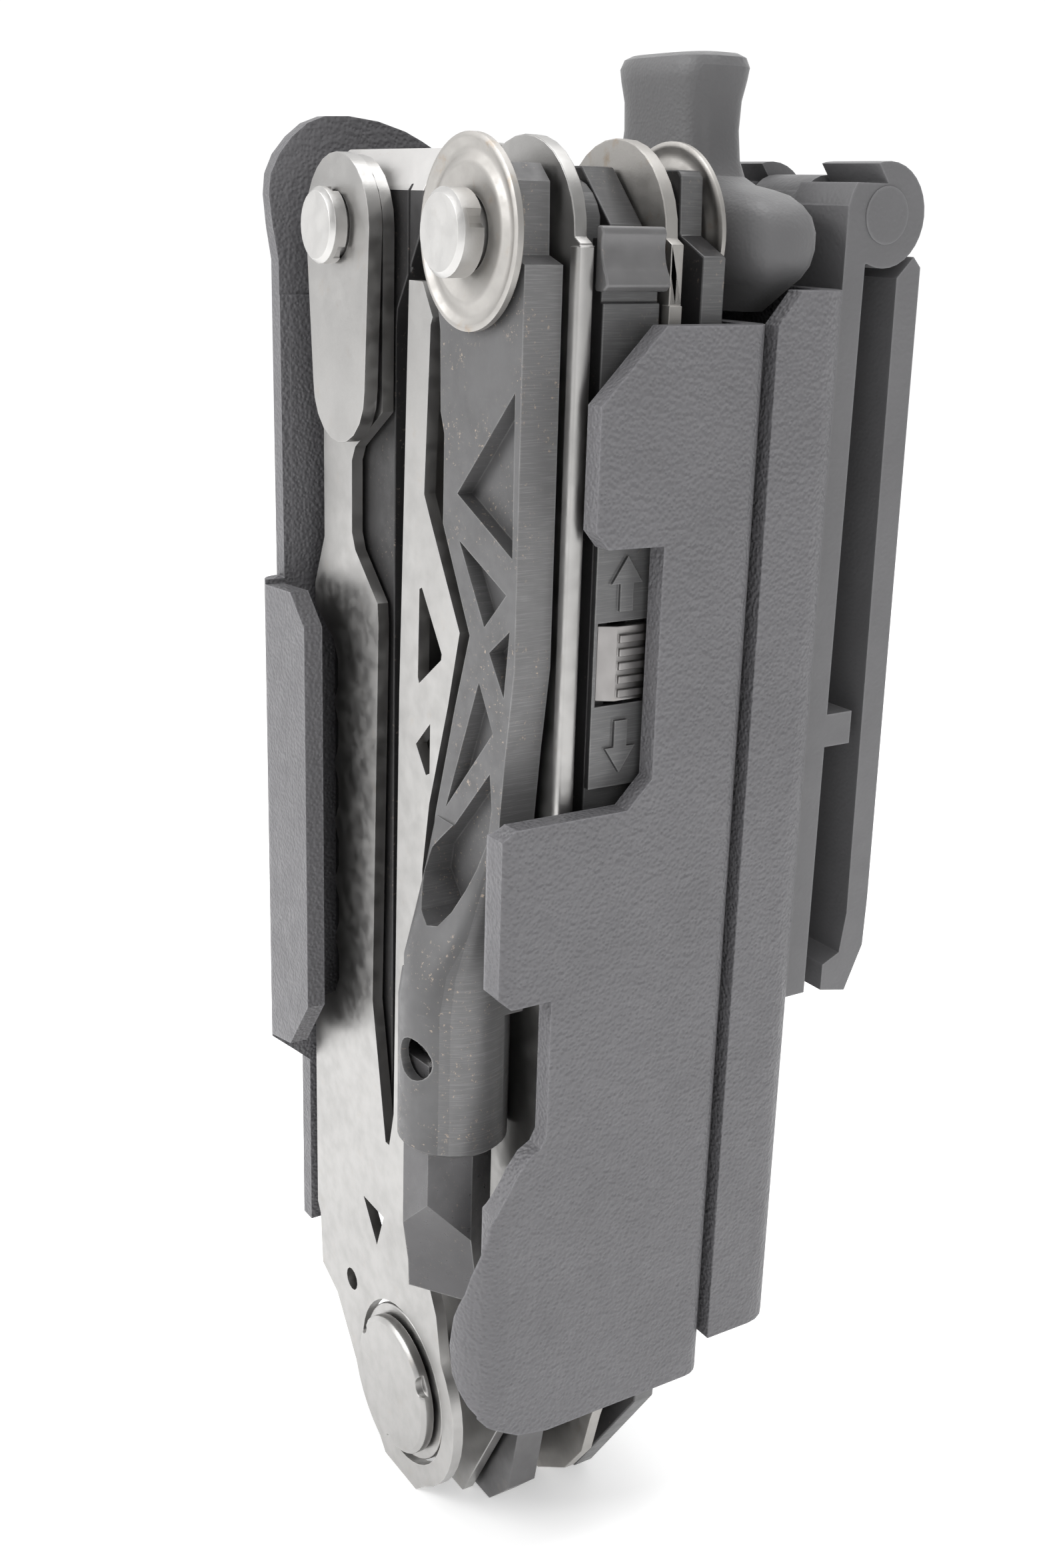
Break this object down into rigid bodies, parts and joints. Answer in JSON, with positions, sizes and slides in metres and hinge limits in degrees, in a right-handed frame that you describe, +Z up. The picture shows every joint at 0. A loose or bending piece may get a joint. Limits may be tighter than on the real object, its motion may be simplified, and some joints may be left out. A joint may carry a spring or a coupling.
{
  "type": "multi tool",
  "caption": "Folding multi tool with a bit driver, blades and plier jaws, standing in a black belt sheath with a hinged belt clip and a soft-handled fire steel",
  "frame": {"origin": "centre of the bounding box's bottom face, on the surface the tool stands on", "axes": "+Z up, from the foot pivot to the tool pins; +Y toward the belt clip at the back; +X toward the handle with the bit driver"},
  "size_m": [0.0408, 0.0414, 0.126],
  "materials": {
    "satin_steel": "satin, bead blasted",
    "bright_steel": "bright ground",
    "black_oxide": "black oxide, satin",
    "grey_steel": "dark grey satin",
    "sheath_shell": "fine leather-like grain",
    "clip_plastic": "smooth moulded",
    "soft_grip": "matte"
  },
  "bodies": {
    "sheath": {"sheath_front_shell": "sheath_shell", "sheath_rear_shell": "sheath_shell", "sheath_rivet_left": "black_oxide", "sheath_rivet_right": "black_oxide", "clip_base": "clip_plastic", "clip_pin": "grey_steel", "clip_rivet_1": "grey_steel", "clip_rivet_2": "grey_steel", "clip_rivet_3": "grey_steel", "clip_rivet_4": "grey_steel"},
    "clip_gate": {"clip_gate": "clip_plastic"},
    "clip_latch": {"clip_latch": "clip_plastic"},
    "fire_steel": {"fire_steel_handle": "soft_grip", "fire_steel_rod": "grey_steel"},
    "right_handle": {"right_front_plate": "satin_steel", "right_rear_plate": "satin_steel", "front_washer": "satin_steel", "rear_washer": "satin_steel", "spacer_washer": "satin_steel", "right_pin": "satin_steel", "pivot_bolt": "satin_steel", "pivot_washer": "satin_steel", "pivot_nut": "black_oxide", "pry_tool": "black_oxide", "flat_driver": "black_oxide"},
    "lock": {"lock_bar": "black_oxide", "lock_saddle": "grey_steel"},
    "lock_slider": {"lock_slider": "black_oxide", "lock_button": "grey_steel"},
    "driver_arm": {"driver_arm": "black_oxide", "bit_magnet": "bright_steel"},
    "driver_bit": {"driver_bit": "black_oxide"},
    "knife_blade": {"knife_blade": "black_oxide"},
    "left_handle": {"front_frame": "satin_steel", "pin_strap": "satin_steel", "left_rear_plate": "satin_steel", "left_pin": "satin_steel", "left_rear_washer": "satin_steel"},
    "serrated_blade": {"serrated_blade": "black_oxide"},
    "file": {"file": "grey_steel"},
    "bottle_opener": {"bottle_opener": "satin_steel"},
    "small_driver": {"small_driver": "satin_steel"},
    "awl": {"awl": "black_oxide"},
    "jaw_left": {"jaw_left": "grey_steel", "cutter_left": "bright_steel"},
    "jaw_right": {"jaw_right": "grey_steel", "cutter_right": "bright_steel"}
  },
  "joints": [
    {"name": "tool_draw", "type": "slide", "parent": "sheath", "child": "right_handle", "axis": [0, 0, 1], "range_m": [0, 0.125], "deforming": ["sheath_front_shell"]},
    {"name": "left_handle_turn", "type": "hinge", "parent": "right_handle", "child": "left_handle", "pos_m": [0, -0.00565, 0.01], "axis": [0, -1, 0], "range_deg": [0, 225]},
    {"name": "jaw_left_turn", "type": "hinge", "parent": "right_handle", "child": "jaw_left", "pos_m": [0, -0.00565, 0.01], "axis": [0, -1, 0], "range_deg": [0, 126]},
    {"name": "jaw_right_turn", "type": "hinge", "parent": "right_handle", "child": "jaw_right", "pos_m": [0, -0.00565, 0.01], "axis": [0, -1, 0], "range_deg": [0, 99]},
    {"name": "driver_fold", "type": "hinge", "parent": "right_handle", "child": "driver_arm", "pos_m": [0.00985, -0.00565, 0.1126], "axis": [0, -1, 0], "range_deg": [0, 180]},
    {"name": "driver_bit_pull", "type": "slide", "parent": "driver_arm", "child": "driver_bit", "axis": [0, 0, -1], "range_m": [0, 0.004]},
    {"name": "knife_fold", "type": "hinge", "parent": "right_handle", "child": "knife_blade", "pos_m": [0.00985, -0.00565, 0.1126], "axis": [0, -1, 0], "range_deg": [0, 180]},
    {"name": "serrated_fold", "type": "hinge", "parent": "left_handle", "child": "serrated_blade", "pos_m": [-0.00985, -0.00565, 0.1126], "axis": [0, 1, 0], "range_deg": [0, 180]},
    {"name": "file_fold", "type": "hinge", "parent": "left_handle", "child": "file", "pos_m": [-0.00985, -0.00565, 0.1126], "axis": [0, 1, 0], "range_deg": [0, 180]},
    {"name": "bottle_opener_fold", "type": "hinge", "parent": "left_handle", "child": "bottle_opener", "pos_m": [-0.00985, -0.00565, 0.1126], "axis": [0, 1, 0], "range_deg": [0, 180]},
    {"name": "small_driver_fold", "type": "hinge", "parent": "left_handle", "child": "small_driver", "pos_m": [-0.00985, -0.00565, 0.1126], "axis": [0, 1, 0], "range_deg": [0, 180]},
    {"name": "awl_fold", "type": "hinge", "parent": "left_handle", "child": "awl", "pos_m": [-0.00985, -0.00565, 0.1126], "axis": [0, 1, 0], "range_deg": [0, 180]},
    {"name": "lock_press", "type": "hinge", "parent": "right_handle", "child": "lock", "pos_m": [0.0162, -0.00565, 0.0435], "axis": [0, 1, 0], "range_deg": [0, 1.5], "stiffness_Nm_per_rad": 0.6},
    {"name": "lock_slide", "type": "slide", "parent": "lock", "child": "lock_slider", "axis": [0, 0, 1], "range_m": [-0.002, 0.002]},
    {"name": "clip_gate_turn", "type": "hinge", "parent": "sheath", "child": "clip_gate", "pos_m": [0, 0.01605, 0.1146], "axis": [1, 0, 0], "range_deg": [0, 60]},
    {"name": "clip_latch_turn", "type": "hinge", "parent": "sheath", "child": "clip_latch", "pos_m": [0, 0.01335, 0.0485], "axis": [-1, 0, 0], "range_deg": [0, 35]},
    {"name": "fire_steel_pull", "type": "slide", "parent": "sheath", "child": "fire_steel", "axis": [0, 0, 1], "range_m": [0, 0.07]}
  ],
  "couplings": [
    {"joint": "jaw_left_turn", "follows": "left_handle_turn", "ratio": 0.56},
    {"joint": "jaw_right_turn", "follows": "left_handle_turn", "ratio": 0.44}
  ]
}
